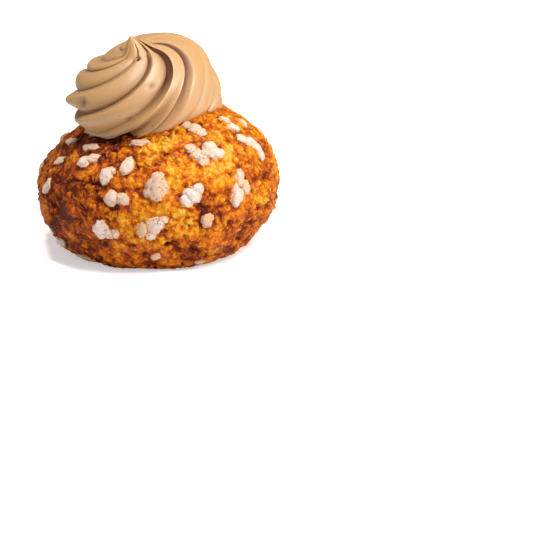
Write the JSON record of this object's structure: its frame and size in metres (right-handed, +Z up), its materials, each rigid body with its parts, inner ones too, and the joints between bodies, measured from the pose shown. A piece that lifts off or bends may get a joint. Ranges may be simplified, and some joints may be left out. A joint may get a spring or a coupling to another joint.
{
  "type": "cream puff",
  "caption": "Uncut choux bun with a craggy crust set with pearl sugar, and a leaning star-piped swirl of coffee cream on its crown.",
  "frame": {"origin": "middle of the object's outline, on the plane of the bun's flat underside", "axes": "+Z up, -Y the side that faces the eye in the picture, +X to the right of it"},
  "size_m": [0.0694, 0.0712, 0.0609],
  "materials": {
    "crust": "baked choux crust with crumbly caramel-coloured topping, matt with small glossy points",
    "cream": "smooth coffee cream with a satin sheen",
    "pearl_sugar": "rough opaque white sugar"
  },
  "bodies": {
    "root": {"choux_bun": "crust", "cream_swirl": "cream"}
  },
  "joints": []
}
